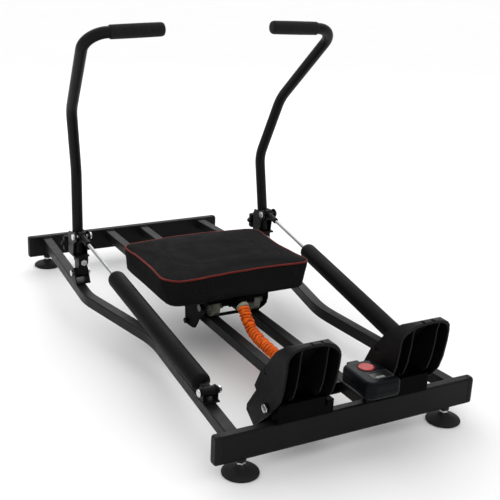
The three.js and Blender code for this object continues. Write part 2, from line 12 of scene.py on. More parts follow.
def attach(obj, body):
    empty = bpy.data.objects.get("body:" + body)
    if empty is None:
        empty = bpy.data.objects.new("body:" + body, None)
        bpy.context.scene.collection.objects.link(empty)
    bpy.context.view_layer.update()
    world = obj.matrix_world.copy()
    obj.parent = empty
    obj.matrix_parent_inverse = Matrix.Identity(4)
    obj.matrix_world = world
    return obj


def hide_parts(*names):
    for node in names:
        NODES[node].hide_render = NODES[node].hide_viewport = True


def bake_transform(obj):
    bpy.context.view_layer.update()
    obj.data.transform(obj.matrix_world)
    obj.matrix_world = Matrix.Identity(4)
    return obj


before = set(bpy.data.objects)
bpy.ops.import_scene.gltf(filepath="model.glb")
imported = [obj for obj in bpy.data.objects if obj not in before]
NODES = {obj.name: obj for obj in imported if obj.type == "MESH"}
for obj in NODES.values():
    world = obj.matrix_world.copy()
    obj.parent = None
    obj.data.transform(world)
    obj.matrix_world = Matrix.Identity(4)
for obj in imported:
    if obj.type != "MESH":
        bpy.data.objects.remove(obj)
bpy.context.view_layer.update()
scene = bpy.context.scene
OFF_Y = -568.5                       # plan positions below are in mm, from the front bar's front face


def P(x, y, z):
    return Vector((x / 1000, (y + OFF_Y) / 1000, z / 1000))


# ------------------------------------------------------------------ camera
cam_data = bpy.data.cameras.new("camera")
cam_data.sensor_width = 36
cam_data.sensor_fit = "HORIZONTAL"
cam_data.lens = 68.566
cam_data.clip_end = 100
camera = bpy.data.objects.new("camera", cam_data)
scene.collection.objects.link(camera)
right = Vector((0.8784328797, -0.4758852275, 0.0434617770))
up = Vector((0.1222363312, 0.3116926082, 0.9422876405))
back = right.cross(up)
camera.matrix_world = Matrix.Translation((-0.95135, -1.83889, 0.93971)) @ Matrix((right, up, back)).transposed().to_4x4()
scene.camera = camera


# ------------------------------------------------------------------ materials
class Mat:
    """A principled material with a small set of texture helpers."""

    def __init__(self, name, color, rough, metal=0.0, **consts):
        self.m = bpy.data.materials.new(name)
        self.m.use_nodes = True
        self.t = self.m.node_tree
        self.b = self.t.nodes["Principled BSDF"]
        self.b.inputs["Base Color"].default_value = (*color, 1)
        self.b.inputs["Roughness"].default_value = rough
        self.b.inputs["Metallic"].default_value = metal
        for k, v in consts.items():
            self.b.inputs[k.replace("_", " ")].default_value = v
        self.color = color
        self.co = self.t.nodes.new("ShaderNodeTexCoord").outputs["Object"]
        self.height = None

    def node(self, kind, inputs=None, **props):
        n = self.t.nodes.new(kind)
        for k, v in props.items():
            setattr(n, k, v)
        for k, v in (inputs or {}).items():
            if isinstance(v, bpy.types.NodeSocket):
                self.t.links.new(v, n.inputs[k])
            else:
                n.inputs[k].default_value = v
        return n

    def noise(self, scale, detail=3.0, rough=0.5, stretch=None):
        v = self.co
        if stretch:
            v = self.node("ShaderNodeMapping", {"Vector": v, "Scale": stretch}).outputs[0]
        return self.node("ShaderNodeTexNoise", {"Vector": v, "Scale": scale, "Detail": detail, "Roughness": rough}).outputs["Fac"]

    def rng(self, v, a, b, lo=0.3, hi=0.7):
        return self.node("ShaderNodeMapRange", {"Value": v, "From Min": lo, "From Max": hi, "To Min": a, "To Max": b}).outputs[0]

    def math(self, op, a, b=0.0):
        n = self.node("ShaderNodeMath", operation=op)
        for i, v in enumerate((a, b)):
            if isinstance(v, bpy.types.NodeSocket):
                self.t.links.new(v, n.inputs[i])
            else:
                n.inputs[i].default_value = v
        return n.outputs[0]

    def roughness(self, fac, a, b, lo=0.3, hi=0.7):
        self.t.links.new(self.rng(fac, a, b, lo, hi), self.b.inputs["Roughness"])
        return self

    def tint(self, fac, other, lo=0.35, hi=0.65, amount=1.0):
        f = self.rng(fac, 0.0, amount, lo, hi)
        mix = self.node("ShaderNodeMix", {"Factor": f}, data_type="RGBA")
        link = self.b.inputs["Base Color"].links
        if link:
            self.t.links.new(link[0].from_socket, mix.inputs[6])
        else:
            mix.inputs[6].default_value = (*self.color, 1)
        mix.inputs[7].default_value = (*other, 1)
        self.t.links.new(mix.outputs[2], self.b.inputs["Base Color"])
        return self

    def bump(self, h, strength, dist):
        n = self.node("ShaderNodeBump", {"Height": h, "Strength": strength, "Distance": dist})
        if self.b.inputs["Normal"].links:
            self.t.links.new(self.b.inputs["Normal"].links[0].from_socket, n.inputs["Normal"])
        self.t.links.new(n.outputs[0], self.b.inputs["Normal"])
        return self


def mat_powder(name="powder_coat", color=(0.0046, 0.0046, 0.0050), rough=(0.36, 0.46), spec=0.1):
    m = Mat(name, color, rough[0], Specular_IOR_Level=spec)
    m.roughness(m.noise(45, 4), *rough)
    m.tint(m.noise(9, 3), tuple(c * 1.75 for c in color), 0.5, 0.75, 0.6)
    m.bump(m.noise(1500, 2), 0.10, 0.0004)
    m.bump(m.noise(240, 2), 0.05, 0.0006)
    return m.m


def mat_plastic(name, color, rough, spec=0.12, grain=1200, depth=0.12):
    m = Mat(name, color, rough, Specular_IOR_Level=spec)
    m.roughness(m.noise(70, 4), rough - 0.05, rough + 0.07)
    m.tint(m.noise(14, 3), tuple(min(1.0, c * 1.7 + 0.002) for c in color), 0.5, 0.8, 0.5)
    m.bump(m.noise(grain, 3), depth, 0.0004)
    return m.m


def mat_foam():
    m = Mat("grip_foam", (0.0062, 0.0062, 0.0068), 0.82, Specular_IOR_Level=0.14, Sheen_Weight=0.06, Sheen_Roughness=0.5)
    m.roughness(m.noise(160, 4), 0.72, 0.9)
    m.tint(m.noise(600, 4), (0.014, 0.014, 0.015), 0.45, 0.7, 0.8)
    v = m.node("ShaderNodeTexVoronoi", {"Vector": m.co, "Scale": 1500.0}).outputs["Distance"]
    m.bump(v, 0.35, 0.0006)
    m.bump(m.noise(90, 3), 0.2, 0.0012)
    return m.m


def mat_sleeve():
    m = Mat("cylinder_sleeve", (0.0024, 0.0024, 0.0027), 0.5, Specular_IOR_Level=0.06)
    m.roughness(m.noise(60, 4, stretch=(1, 0.2, 1)), 0.46, 0.58)
    m.tint(m.noise(20, 4, stretch=(1, 0.15, 1)), (0.0050, 0.0050, 0.0055), 0.45, 0.7, 0.7)
    m.bump(m.noise(900, 3), 0.12, 0.0004)
    return m.m


def mat_chrome(name, color=(0.66, 0.67, 0.69), rough=(0.10, 0.22), stretch=None):
    m = Mat(name, color, rough[0], 1.0)
    m.roughness(m.noise(220, 5, stretch=stretch), *rough)
    m.tint(m.noise(60, 4), tuple(c * 0.72 for c in color), 0.45, 0.75, 0.6)
    m.bump(m.noise(900, 3, stretch=stretch), 0.04, 0.0003)
    return m.m


def mat_cloth():
    m = Mat("seat_cloth", (0.0072, 0.0072, 0.0075), 0.85, Specular_IOR_Level=0.03)
    waves = []
    for d in "XYZ":
        w = m.node("ShaderNodeTexWave", {"Vector": m.co, "Scale": 330.0, "Distortion": 0.6, "Detail": 1.0, "Detail Scale": 2.0},
                   wave_type="BANDS", bands_direction=d, wave_profile="SIN").outputs["Fac"]
        waves.append(w)
    weave = m.math("MULTIPLY", m.math("ADD", m.math("ADD", waves[0], waves[1]), waves[2]), 0.33)
    m.tint(weave, (0.0150, 0.0150, 0.0156), 0.35, 0.75, 0.8)
    m.tint(m.noise(1400, 3), (0.0048, 0.0048, 0.0051), 0.5, 0.7, 0.6)
    m.tint(m.noise(7, 4), (0.0066, 0.0066, 0.0070), 0.4, 0.65, 0.5)
    m.roughness(m.noise(30, 4), 0.72, 0.86)
    m.bump(weave, 0.35, 0.0005)
    m.bump(m.noise(35, 4), 0.18, 0.0016)
    return m.m


def mat_piping():
    m = Mat("red_piping", (0.150, 0.014, 0.009), 0.6, Specular_IOR_Level=0.14)
    w = m.node("ShaderNodeTexWave", {"Vector": m.co, "Scale": 260.0, "Distortion": 0.8, "Detail": 1.0},
               wave_type="BANDS", bands_direction="DIAGONAL", wave_profile="SIN").outputs["Fac"]
    m.tint(w, (0.070, 0.006, 0.004), 0.3, 0.8, 0.8)
    m.tint(m.noise(40, 3), (0.21, 0.030, 0.020), 0.5, 0.75, 0.6)
    m.bump(w, 0.4, 0.0005)
    return m.m


def mat_elastic():
    m = Mat("elastic_orange", (0.80, 0.118, 0.005), 0.6, Specular_IOR_Level=0.14)
    # painted shade: a mesh attribute that is 1 in the cord's fold valleys tints them dark brown, standing in for
    # shade in the creases
    a = m.node("ShaderNodeAttribute", attribute_name="fold_shade").outputs["Fac"]
    m.tint(a, (0.17, 0.014, 0.0016), 0.18, 0.85, 1.0)
    m.tint(m.noise(70, 4), (0.90, 0.20, 0.018), 0.5, 0.75, 0.6)
    m.roughness(m.noise(110, 3), 0.45, 0.66)
    m.bump(m.noise(1300, 3), 0.2, 0.0004)
    m.bump(m.noise(240, 3, stretch=(1, 0.35, 1)), 0.35, 0.0011)
    return m.m


def mat_roller():
    m = Mat("roller_nylon", (0.125, 0.130, 0.105), 0.5, Specular_IOR_Level=0.35)
    m.tint(m.noise(50, 5), (0.03, 0.034, 0.028), 0.45, 0.7, 0.8)
    m.roughness(m.noise(80, 4), 0.42, 0.62)
    m.bump(m.noise(500, 4), 0.25, 0.0005)
    return m.m


def mat_lcd():
    m = Mat("display", (0.0050, 0.0055, 0.0060), 0.34, Specular_IOR_Level=0.3, Coat_Weight=0.15, Coat_Roughness=0.3)
    m.tint(m.noise(25, 2), (0.0075, 0.0082, 0.0085), 0.4, 0.7, 0.7)
    m.roughness(m.noise(30, 2), 0.30, 0.38)
    return m.m


def mat_counter():
    m = Mat("counter_case", (0.0032, 0.0040, 0.0050), 0.34, Specular_IOR_Level=0.07)
    m.roughness(m.noise(50, 4), 0.26, 0.36)
    m.tint(m.noise(20, 3), (0.0054, 0.0066, 0.0080), 0.5, 0.75, 0.6)
    m.bump(m.noise(1400, 3), 0.10, 0.0003)
    return m.m


def mat_button():
    m = Mat("red_button", (0.42, 0.026, 0.028), 0.36, Specular_IOR_Level=0.3)
    m.tint(m.noise(60, 3), (0.30, 0.012, 0.014), 0.45, 0.75, 0.6)
    m.roughness(m.noise(120, 3), 0.28, 0.4)
    m.bump(m.noise(900, 3), 0.12, 0.0003)
    return m.m


POWDER = mat_powder()
PLASTIC = mat_plastic("black_plastic", (0.0030, 0.0030, 0.0033), 0.47, 0.08)
CAPS = mat_plastic("cap_plastic", (0.0060, 0.0060, 0.0064), 0.5, grain=800)
RUBBER = mat_plastic("foot_rubber", (0.0070, 0.0070, 0.0072), 0.66, 0.2, 700, 0.2)
FOAM, SLEEVE, CLOTH, PIPING = mat_foam(), mat_sleeve(), mat_cloth(), mat_piping()
ELASTIC, ROLLER, LCD, COUNTER, BUTTON = mat_elastic(), mat_roller(), mat_lcd(), mat_counter(), mat_button()
BEZEL = mat_plastic("display_bezel", (0.022, 0.024, 0.028), 0.3, 0.35)
FIELD = mat_plastic("display_field", (0.20, 0.22, 0.20), 0.35, 0.3, 300, 0.06)
STAND = mat_plastic("stand_black", (0.0012, 0.0012, 0.0014), 0.6, 0.03)
# painted shade: a darker, duller copy of the frame's powder coat for the seat carriage, standing in for the shade
# under the seat
SHADED_POWDER = mat_powder("powder_coat_painted_shade", (0.0016, 0.0016, 0.0018), (0.5, 0.62), 0.03)
PLATED = mat_chrome("plated_steel", (0.60, 0.61, 0.63), (0.16, 0.30))
RODS = mat_chrome("polished_rod", (0.30, 0.305, 0.315), (0.08, 0.16), stretch=(1, 0.1, 1))
DARK_STEEL = mat_chrome("dark_steel", (0.085, 0.085, 0.09), (0.24, 0.38))
CUFF = mat_plastic("elastic_cuff", (0.21, 0.215, 0.165), 0.7, 0.3, 700, 0.3)
SOCKET = mat_plastic("socket_black", (0.0045, 0.0045, 0.005), 0.35, 0.2)


# ------------------------------------------------------------------ mesh helpers
def finish(obj, sharp=35, weighted=True):
    me = obj.data
    for p in me.polygons:
        p.use_smooth = True
    me.set_sharp_from_angle(angle=math.radians(sharp))
    if weighted:
        w = obj.modifiers.new("w", "WEIGHTED_NORMAL")
        w.mode = "FACE_AREA"
        w.weight = 100
        w.keep_sharp = True
        w.thresh = 0.01
    if obj.modifiers:
        bpy.context.view_layer.update()
        ev = obj.evaluated_get(bpy.context.evaluated_depsgraph_get())
        new = bpy.data.meshes.new_from_object(ev)
        obj.modifiers.clear()
        obj.data = new
    return obj


def make(name, verts, faces, material, mm=True, sharp=35, weighted=True):
    me = bpy.data.meshes.new(name)
    if mm:
        verts = [P(*v) for v in verts]
    me.from_pydata([tuple(v) for v in verts], [], faces)
    me.validate()
    me.update()
    bm = bmesh.new()
    bm.from_mesh(me)
    bmesh.ops.recalc_face_normals(bm, faces=bm.faces)
    bm.to_mesh(me)
    bm.free()
    obj = bpy.data.objects.new(name, me)
    scene.collection.objects.link(obj)
    me.materials.append(material)
    return finish(obj, sharp, weighted)


def mirrored(obj, name):
    me = obj.data.copy()
    me.transform(Matrix.Scale(-1, 4, (1, 0, 0)))
    me.flip_normals()
    o = bpy.data.objects.new(name, me)
    scene.collection.objects.link(o)
    for p in me.polygons:
        p.use_smooth = True
    o.data.update()
    return finish(o, 35, True)


def put(obj, body, slot, *nodes):
    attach(obj, body)
    if nodes:
        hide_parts(*nodes)
    return obj


def both(obj, body, slot, *nodes):
    """Right-hand piece as it is, and its mirror image on the left; {} in the names is the side."""
    base = obj.name
    obj.name = base + "_right"
    left = mirrored(obj, base + "_left")
    for o, s in ((obj, "right"), (left, "left")):
        put(o, body.format(s), slot, *[n.format(s) for n in nodes])
    return obj, left


def ring2(r, n, ph=0.0):
    return [(r * math.cos(2 * math.pi * i / n + ph), r * math.sin(2 * math.pi * i / n + ph)) for i in range(n)]


def rrect(x0, x1, y0, y1, r, n=6, support=0.35):
    rr = r if isinstance(r, (list, tuple)) else [r] * 4
    out = []
    for (cx, cy, a, q) in ((x1 - rr[0], y1 - rr[0], 0, rr[0]), (x0 + rr[1], y1 - rr[1], 90, rr[1]), (x0 + rr[2], y0 + rr[2], 180, rr[2]), (x1 - rr[3], y0 + rr[3], 270, rr[3])):
        pts = [(cx + q * math.cos(math.radians(a + 90 * i / n)), cy + q * math.sin(math.radians(a + 90 * i / n))) for i in range(n + 1)]
        if support:
            a0, a1 = math.radians(a - 90), math.radians(a + 180)
            pts = [(pts[0][0] + support * math.cos(a0), pts[0][1] + support * math.sin(a0))] + pts + [(pts[-1][0] + support * math.cos(a1), pts[-1][1] + support * math.sin(a1))]
        out += pts
    return out


def fillet(points, radii, step=4.0):
    pts = [Vector(p) for p in points]
    out = [pts[0].copy()]
    for i in range(1, len(pts) - 1):
        a, b = (pts[i - 1] - pts[i]).normalized(), (pts[i + 1] - pts[i]).normalized()
        half = a.angle(b) / 2
        r = radii[i - 1]
        turn = math.pi - 2 * half
        centre = pts[i] + (a + b).normalized() * (r / math.sin(half))
        s = pts[i] + a * (r / math.tan(half)) - centre
        axis = (-a).cross(b).normalized()
        n = max(2, math.ceil(math.degrees(turn) / step))
        for k in range(n + 1):
            out.append(Matrix.Rotation(turn * k / n, 3, axis) @ s + centre)
    out.append(pts[-1].copy())
    return out


def frames(path, up=None):
    n = len(path)
    T = []
    for i in range(n):
        a, b = path[max(0, i - 1)], path[min(n - 1, i + 1)]
        d1 = (path[i] - a).normalized() if i else Vector()
        d2 = (b - path[i]).normalized() if i < n - 1 else Vector()
        T.append((d1 + d2).normalized())
    out = []
    if up is not None:
        for t in T:
            a = t.cross(up).normalized()
            out.append((a, a.cross(t).normalized()))
        return T, out
    a = T[0].orthogonal().normalized()
    for i, t in enumerate(T):
        a = (a - t * a.dot(t)).normalized()
        out.append((a, t.cross(a)))
    return T, out


def sweep(name, path, section, material, up=None, caps=True, scale=None, sharp=35, weighted=True):
    T, F = frames(path, up)
    m = len(section)
    verts, faces = [], []
    for i, p in enumerate(path):
        a, b = F[i]
        k = scale(i) if scale else 1.0
        sec = section(i) if callable(section) else section
        for (u, v) in sec:
            verts.append(p + a * (u * k) + b * (v * k))
    for i in range(len(path) - 1):
        for j in range(m):
            k = (j + 1) % m
            faces.append((i * m + j, i * m + k, (i + 1) * m + k, (i + 1) * m + j))
    if caps:
        faces.append(tuple(range(m))[::-1])
        faces.append(tuple((len(path) - 1) * m + j for j in range(m)))
    return make(name, verts, faces, material, sharp=sharp, weighted=weighted)


def lathe(name, profile, origin, axis, material, n=48, wob=None, sharp=35, star=None):
    """profile: (radius, height) pairs; a radius of 0 closes the end."""
    o, d = Vector(origin), Vector(axis).normalized()
    a = d.orthogonal().normalized()
    if abs(d.z) > 0.9:
        a = Vector((1, 0, 0))
    b = d.cross(a)
    verts, faces, rows = [], [], []
    for (r, h) in profile:
        if r <= 1e-6:
            rows.append([len(verts)])
            verts.append(o + d * h)
        else:
            row = []
            for j in range(n):
                t = 2 * math.pi * j / n
                k = r + (star(t, r, h) if star else 0.0)
                row.append(len(verts))
                verts.append(o + d * h + a * (k * math.cos(t)) + b * (k * math.sin(t)))
            rows.append(row)
    for A, B in zip(rows, rows[1:]):
        for j in range(n):
            k = (j + 1) % n
            if len(A) == 1 and len(B) == 1:
                continue
            if len(A) == 1:
                faces.append((A[0], B[k], B[j]))
            elif len(B) == 1:
                faces.append((A[j], A[k], B[0]))
            else:
                faces.append((A[j], A[k], B[k], B[j]))
    return make(name, verts, faces, material, sharp=sharp)


def layers(name, outlines, material, sharp=35, dissolve=False):
    """Outlines (lists of 3D points, same count) joined one to the next, ends filled."""
    m = len(outlines[0])
    verts = [p for o in outlines for p in o]
    faces = []
    for i in range(len(outlines) - 1):
        for j in range(m):
            k = (j + 1) % m
            faces.append((i * m + j, i * m + k, (i + 1) * m + k, (i + 1) * m + j))
    faces.append(tuple(range(m))[::-1])
    faces.append(tuple((len(outlines) - 1) * m + j for j in range(m)))
    return make(name, verts, faces, material, sharp=sharp)


def refined(node, name, material, bevel=0.6, segs=2, angle=32, sharp=40):
    """The node's own outline with broken edges."""
    bm = bmesh.new()
    bm.from_mesh(NODES[node].data)
    bmesh.ops.remove_doubles(bm, verts=bm.verts, dist=2e-6)
    bmesh.ops.dissolve_limit(bm, angle_limit=math.radians(0.8), use_dissolve_boundaries=False, verts=bm.verts, edges=bm.edges)
    edges = [e for e in bm.edges if len(e.link_faces) == 2 and e.calc_face_angle(0) > math.radians(angle)]
    if bevel:
        bmesh.ops.bevel(bm, geom=edges, offset=bevel / 1000, offset_type="OFFSET", segments=segs, profile=0.6, affect="EDGES", clamp_overlap=True)
    bmesh.ops.recalc_face_normals(bm, faces=bm.faces)
    me = bpy.data.meshes.new(name)
    bm.to_mesh(me)
    bm.free()
    o = bpy.data.objects.new(name, me)
    scene.collection.objects.link(o)
    me.materials.append(material)
    return finish(o, sharp, True)


def refined_pair(base, name, body, slot, material, **kw):
    for s in ("right", "left"):
        o = refined(f"{base}_{s}", f"{name}_{s}", material, **kw)
        put(o, body.format(s), slot, f"{base}_{s}")


def hexnut(name, centre, axis, flats, height, material, hole=0.0, turn=0.0):
    """Hexagon nut or bolt head with chamfered corners."""
    r = flats / math.sqrt(3)
    def star(t, rr, h):
        k = (t + turn) % (math.pi / 3) - math.pi / 6
        hexr = (flats / 2) / math.cos(k)
        return min(hexr, rr) - rr
    prof = [(0, 0), (flats / 2 * 0.96, 0), (r, height * 0.16), (r, height * 0.84), (flats / 2 * 0.96, height), (0, height)]
    return lathe(name, prof, centre, axis, material, n=48, star=star, sharp=28)


def weld(name, path, r, body="frame"):
    pts = [Vector(p) for p in path]
    dense = []
    for a, b in zip(pts, pts[1:]):
        n = max(1, int((b - a).length / 1.3))
        dense += [a.lerp(b, i / n) for i in range(n)]
    dense.append(pts[-1])
    o = sweep(name, dense, ring2(r, 8), POWDER, caps=True, scale=lambda i: 1 + 0.16 * math.sin(i * 1.9) + 0.08 * noise.noise(Vector((i * 0.31, r, 0.5))))
    return put(o, body, "frame_paint")


# ------------------------------------------------------------------ frame tubes
for tag, y0, half in (("front", 0.0, 275.0), ("rear", 1142.0, 269.0)):
    sec = [(y - (y0 + 10), z - 60.5) for (y, z) in rrect(y0, y0 + 20, 32.5, 88.5, 4, 6)]
    path = [Vector((x, y0 + 10, 60.5)) for x in (-half, 0.6 - half, -150, 0, 150, half - 0.6, half)]
    o = sweep(f"crossbar_{tag}", path, [(-a, b) for a, b in sec], POWDER, up=Vector((0, 0, 1)))
    put(o, "frame", "frame_paint", f"{tag}_crossbar")
    # moulded end cap with a thin flange line
    def outline(x, inset):
        r = max(6.2 - inset * 0.5, 1.6)
        return [Vector((half + x, a, b)) for a, b in rrect(y0 - 0.6 + inset, y0 + 20.6 - inset, 31.9 + inset, 89.1 - inset, r, 6)]
    cap = layers(f"end_cap_{tag}", [outline(0.2, 1.6), outline(0.2, 0.3), outline(1.0, 0.0), outline(3.6, 0.0), outline(4.2, 0.5), outline(4.6, 0.5), outline(5.2, 0.05), outline(9.0, 0.1), outline(11.4, 0.9), outline(12.6, 2.2), outline(13.0, 4.0)], CAPS)
    both(cap, "frame", "black_plastic", f"end_cap_{tag}_{{}}")

sec = rrect(-12.5, 12.5, -12.5, 12.5, 3, 5)
rail = sweep("guide_rail", [Vector((51, y, 71)) for y in (20.2, 20.8, 300, 580, 860, 1141.2, 1141.8)], sec, POWDER, up=Vector((0, 0, 1)))
both(rail, "frame", "frame_paint", "guide_rail_{}")

side_line = fillet([(229.5, 1172, 71), (264.4, 720.1, 71), (208.6, 444.2, 71), (247.4, 0, 71)], [186, 283], 2.0)
side_line = [p for p in side_line if 20.4 <= p.y <= 1141.6]
a, b = Vector((229.5, 1172, 71)), Vector((264.4, 720.1, 71))
first = a.lerp(b, (1172 - 1141.7) / (1172 - 720.1))
c, d = Vector((208.6, 444.2, 71)), Vector((247.4, 0, 71))
last = c.lerp(d, (444.2 - 20.3) / 444.2)
side_line = [first] + [first.lerp(side_line[0], k) for k in (0.1, 0.5)] + side_line + [side_line[-1].lerp(last, k) for k in (0.35, 0.7)] + [last]
rail = sweep("side_rail", side_line, sec, POWDER, up=Vector((0, 0, 1)))
both(rail, "frame", "frame_paint", "side_rail_{}")

# weld beads where the rails meet the crossbars
for tag, yb in (("front", 21.0), ("rear", 1141.0)):
    for nm, xc in (("guide", 51.0), ("side", 245.2 if tag == "front" else 231.9)):
        loop = [(x, yb, z) for (x, z) in rrect(xc - 13.2, xc + 13.2, 57.8, 84.2, 3.4, 4, 0)]
        loop.append(loop[0])
        o = weld(f"weld_{nm}_{tag}", loop, 1.7)
        o.name = f"weld_{nm}_{tag}_right"
        m = mirrored(o, f"weld_{nm}_{tag}_left")
        put(m, "frame", "frame_paint")

# feet
for tag, yc in (("front", 12.0), ("rear", 1154.0)):
    pad = lathe(f"foot_{tag}", [(0, 0), (31.5, 0), (33.6, 0.5), (34.8, 1.6), (35.0, 2.9), (34.4, 4.4), (33.0, 5.9), (30.4, 7.5), (26.6, 9.1), (22.0, 10.6), (17.4, 12.0), (14.2, 13.2), (13.0, 13.9), (11.6, 14.1), (0, 14.1)],
                (230, yc, 0), (0, 0, 1), RUBBER, 64)
    both(pad, "frame", "foot_rubber", f"foot_pad_{tag}_{{}}")
    stud = lathe(f"foot_thread_{tag}", [(0, 14.2)] + [(4.6 + 0.45 * (k % 2), 14.2 + 0.6 * k) for k in range(31)] + [(0, 32.6)], (230, yc, 0), (0, 0, 1), PLATED, 24)
    both(stud, "frame", "plated_steel", f"foot_stud_{tag}_{{}}")
    nut = hexnut(f"foot_nut_{tag}", (230, yc, 20.2), (0, 0, 1), 16, 4.6, PLATED, turn=0.3)
    both(nut, "frame", "plated_steel")
    sock = lathe(f"foot_socket_{tag}", [(0, 25.1), (8.8, 25.1), (9.8, 25.8), (10.0, 27.0), (10.0, 31.0), (9.4, 32.2), (0, 32.2)], (230, yc, 0), (0, 0, 1), SOCKET, 40)
    both(sock, "frame", "black_plastic")
    boot = lathe(f"foot_boot_{tag}", [(0, 13.4), (13.0, 13.4), (12.2, 15.0), (10.4, 16.8), (9.2, 18.4), (8.8, 19.4), (8.0, 19.9), (0, 19.9)], (230, yc, 0), (0, 0, 1), RUBBER, 48)
    both(boot, "frame", "foot_rubber")

# ------------------------------------------------------------------ plates, brackets, bolts
refined_pair("arm_base_bracket", "arm_bracket", "frame", "frame_paint", POWDER, bevel=0.5)
refined_pair("arm_pivot_bolt", "arm_bolt", "frame", "plated_steel", PLATED, bevel=0.5)
refined_pair("pedal_bracket", "pedal_stand", "frame", "black_plastic", STAND, bevel=0.7)
refined_pair("swing_block", "swing_link", "swing_{}", "frame_paint", POWDER, bevel=0.6)
refined_pair("arm_tilt_bolt", "tilt_bolt", "swing_{}", "plated_steel", PLATED, bevel=0.5)
refined_pair("rod_clamp", "arm_clamp", "arm_{}", "frame_paint", POWDER, bevel=0.5)
refined_pair("rod_pin", "clamp_bolt", "arm_{}", "plated_steel", PLATED, bevel=0.5)
refined_pair("cylinder_base", "cylinder_foot", "cylinder_swivel_{}", "frame_paint", POWDER, bevel=0.5)
put(refined("elastic_anchor_front", "anchor_bar", POWDER, bevel=0.6), "frame", "frame_paint", "elastic_anchor_front")
# the carriage wears the painted-shade copy of the powder coat
put(refined("seat_carriage", "carriage", SHADED_POWDER, bevel=0.6), "seat", "frame_paint", "seat_carriage")
put(refined("roller_axle_front", "axle_front", DARK_STEEL, bevel=0.5), "seat", "plated_steel", "roller_axle_front")
put(refined("roller_axle_rear", "axle_rear", DARK_STEEL, bevel=0.5), "seat", "plated_steel", "roller_axle_rear")
put(refined("keeper_rod", "keeper", PLASTIC, bevel=0.5), "seat", "black_plastic", "keeper_rod")
refined_pair("pedal", "foot_plate", "foot_plate_{}", "black_plastic", PLASTIC, bevel=1.5, segs=3)
for nm, x in (("outer", 178.8), ("inner", 59.0)):
    d = 1 if nm == "outer" else -1
    both(hexnut(f"pedal_bolt_{nm}", (x, 23.4, 112.5), (d, 0, 0), 15.5 if d > 0 else 13, 3.4 if d > 0 else 2.6, PLATED, turn=0.2), "frame", "plated_steel")

# ------------------------------------------------------------------ rollers
w, hub, R = 9.0, 24.0, 23.0
prof = [(5.4, -hub), (8.2, -hub), (9, 0.7 - hub), (9, -w - 0.6), (10, -w + 0.6), (14, -w + 1.2), (19, -w + 1.0), (20.4, -w), (R - 1.2, -w), (R - 0.3, -w + 0.5), (R, -w + 1.6),
        (R, -4), (R - 0.5, -3), (R - 0.5, 3), (R, 4), (R, w - 1.6), (R - 0.3, w - 0.5), (R - 1.2, w), (20.4, w), (19, w - 1.0), (14, w - 1.2), (10, w - 0.6), (9, w + 0.6), (9, hub - 0.7), (8.2, hub), (5.4, hub), (5.4, -hub)]
for tag, y in (("front", 493.0), ("rear", 695.0)):
    for s, k in (("right", 1), ("left", -1)):
        o = lathe(f"roller_wheel_{tag}_{s}", prof, (51 * k, y, 106.5), (1, 0, 0), ROLLER, 56)
        put(o, f"wheel_{tag}_{s}", "roller_grey", f"roller_{tag}_{s}")

# ------------------------------------------------------------------ arms
ARM = [(256.3, 810.1, 138), (248.5, 837, 348), (273.6, 788.9, 506), (304, 607, 699), (136, 603.9, 705)]
line = fillet(ARM, [95, 95, 47], 3.0)
start = Vector(ARM[0]).lerp(Vector(ARM[1]), (154.6 - 138) / (348 - 138))
line = [start] + line[1:]
full = []
for p, q in zip(line, line[1:]):
    n = max(1, int((q - p).length / 25))
    full += [p.lerp(q, i / n) for i in range(n)]
full.append(line[-1])
tube = sweep("arm", full, ring2(12.7, 40), POWDER, weighted=False)
both(tube, "arm_{}", "frame_paint", "arm_tube_{}")

gs, ge = Vector((250, 606.0, 700.93)), Vector((129.5, 603.8, 705.2))
L = (ge - gs).length
prof = [(13.0, 0.0), (13.9, 0.1), (14.6, 0.7), (15.0, 2.0)]
for k in range(1, 24):
    h = 2.0 + (L - 12) * k / 24
    prof.append((15.0 + 0.25 * math.sin(math.pi * k / 24), h))
prof += [(15.0, L - 9.5), (14.9, L - 7), (14.3, L - 4.2), (13.0, L - 2.0), (10.5, L - 0.6), (6.0, L - 0.1), (0, L)]
grip = lathe("hand_grip", prof + [], gs, ge - gs, FOAM, 56)
both(grip, "arm_{}", "grip_foam", "grip_{}")

# star knob
def lobe(t, r, h):
    return 2.2 * math.cos(8 * t) * min(1.0, r / 20.0) if r > 12 else 0.0
knob = lathe("star_knob", [(0, -13), (4, -13), (4, -12.4), (9.4, -12.3), (10, -11.4), (10, -0.6), (19.5, -0.2), (21.6, 0.8), (22.6, 2.8), (22.8, 8), (22.6, 12), (21.4, 14.6), (19, 15.7), (14, 16.0), (9, 16.2), (8, 16.9), (7.0, 17.8), (0, 18.0)],
             (258, 850, 166), (0, 1, 0), PLASTIC, 96, star=lobe, sharp=30)
both(knob, "knob_{}", "black_plastic", "clamp_knob_{}")

# ------------------------------------------------------------------ cylinders
cb, pin = Vector((234.5, 139, 102)), Vector((254.3, 788, 203))
cd = (pin - cb).normalized()
prof = [(0, 20), (9.2, 20), (14, 22.6), (18.2, 27), (19.4, 30.5), (19.7, 34)] + [(19.7, 34 + 401.5 * k / 20) for k in range(1, 21)] + \
       [(19.6, 439.0), (19.0, 443.1), (17.6, 447.1), (15.4, 450.1), (12.6, 451.7), (9.4, 452.0), (8.8, 450.9), (5.2, 450.7), (4.7, 449.7), (4.6, 434.0), (0, 434.0)]
body = lathe("oil_cylinder", prof, cb, cd, SLEEVE, 64)
both(body, "cylinder_{}", "cylinder_sleeve", "cylinder_body_{}")
eye = lathe("cylinder_eye", [(4.9, -12.2), (9.2, -12.4), (10, -11.6), (10, 11.6), (9.2, 12.4), (4.9, 12.2), (4.9, -12.2)], cb, (1, 0, 0), POWDER, 40)
both(eye, "cylinder_{}", "frame_paint")
side = cd.cross(Vector((1, 0, 0))).normalized()
neck = sweep("cylinder_neck", [cb + cd * h for h in (9.2, 14, 20, 22)], rrect(-9, 9, -7, 7, 2.5, 4), POWDER, up=Vector((0, 0, 1)))
both(neck, "cylinder_{}", "frame_paint")
RL = (pin - cb).length
